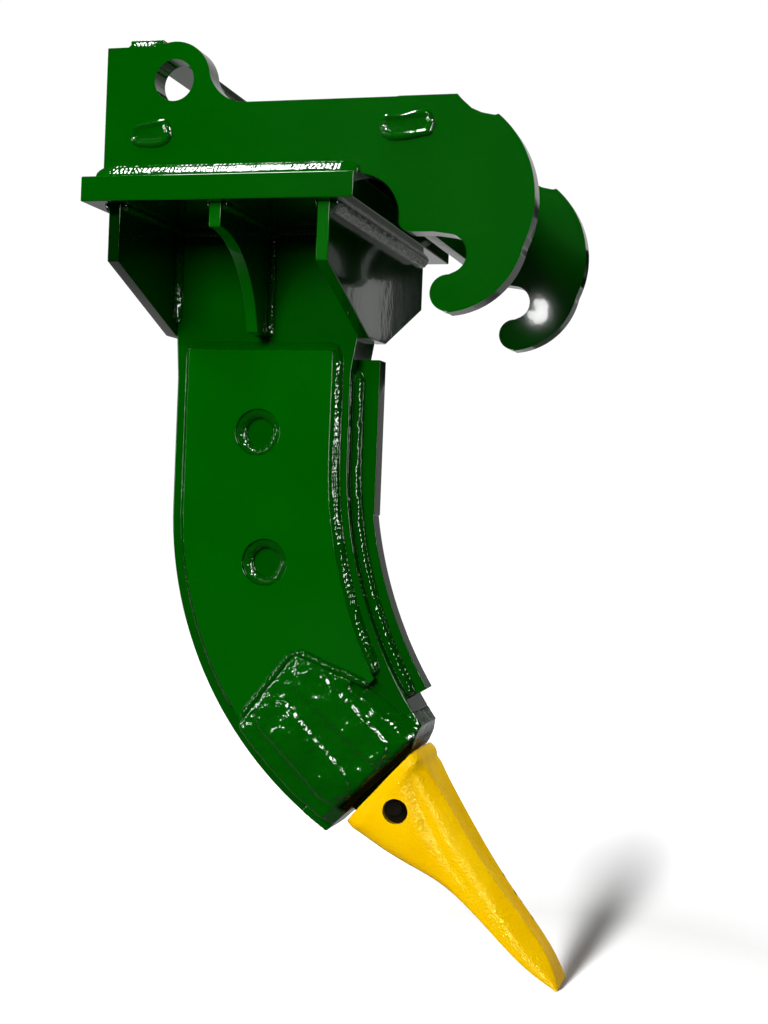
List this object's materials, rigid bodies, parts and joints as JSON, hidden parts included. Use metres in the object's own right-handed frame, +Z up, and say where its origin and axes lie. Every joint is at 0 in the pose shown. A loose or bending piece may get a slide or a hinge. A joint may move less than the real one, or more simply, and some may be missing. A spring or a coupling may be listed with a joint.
{
  "type": "ripper shank tooth",
  "caption": "Excavator ripper: hook plates with a rear pin eye on a gusseted base plate, a thick curved shank with cheek and shin plates, and a pinned cast tooth.",
  "frame": {"origin": "centre of the rear pin eye, on the middle plane between the hook plates", "axes": "+X towards the hooks and the tooth tip, +Y along the hitch pins, +Z up as the ripper hangs from its hitch"},
  "size_m": [0.5817, 0.48, 1.143],
  "materials": {
    "green_paint": "gloss green enamel over plate",
    "green_cast": "gloss green enamel over rough cast steel",
    "green_weld": "gloss green enamel over weld metal",
    "yellow_cast": "yellow enamel over cast steel",
    "pin_steel": "black oxide steel",
    "black_rubber": "black rubber"
  },
  "bodies": {
    "root": {"hook_plate_left": "green_paint", "hook_plate_right": "green_paint", "top_tie_bar": "green_paint", "deck_plate": "green_paint", "front_cross_plate": "green_paint", "base_plate": "green_paint", "rear_transverse_plate": "green_paint", "front_transverse_plate": "green_paint", "mid_gusset_left": "green_paint", "mid_gusset_right": "green_paint", "shank": "green_paint", "cheek_plate_left": "green_paint", "cheek_plate_right": "green_paint", "shin_plate": "green_paint", "adapter": "green_cast", "tooth_tip": "yellow_cast", "tooth_pin": "pin_steel", "pin_retainer": "black_rubber", "hook_fillet_welds": "green_weld", "tenon_plug_welds": "green_weld", "tie_bar_welds": "green_weld", "gusset_welds": "green_weld", "cheek_fillet_welds": "green_weld", "cheek_plug_welds": "green_weld", "shin_fillet_welds": "green_weld", "adapter_welds": "green_weld"}
  },
  "joints": []
}
